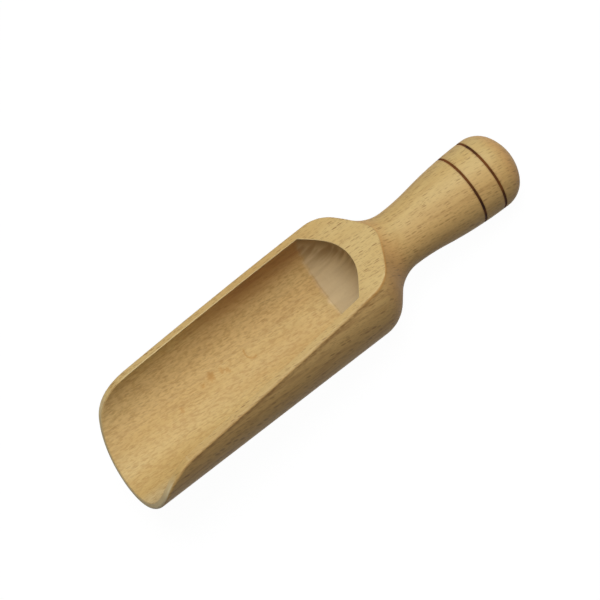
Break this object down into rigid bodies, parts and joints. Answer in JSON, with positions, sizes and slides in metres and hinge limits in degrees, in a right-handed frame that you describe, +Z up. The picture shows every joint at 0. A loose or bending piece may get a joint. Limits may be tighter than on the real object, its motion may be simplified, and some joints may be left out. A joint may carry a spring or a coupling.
{
  "type": "kitchen scoop",
  "caption": "Turned wooden kitchen scoop: deep bored bowl cut open along a sloping rim, rounded mouth, cove neck, flared handle with a domed end and burnt ring lines.",
  "frame": {"origin": "on the table that the scoop rests on, under the middle of its length and width", "axes": "+Z up, +X from the lip to the handle's tip, seen from above; the bowl opens upwards. The scoop lies as it rests, with its turning axis 8.9 degrees down towards the handle, on its shoulder and on the handle's thick end"},
  "size_m": [0.1852, 0.05, 0.0417],
  "materials": {
    "beech": "sanded and lightly oiled, satin",
    "burnt_beech": "charred by a wire in the spinning groove, matt"
  },
  "bodies": {
    "root": {"beech_scoop": "beech", "burnt_line_front": "burnt_beech", "burnt_line_rear": "burnt_beech"}
  },
  "joints": []
}
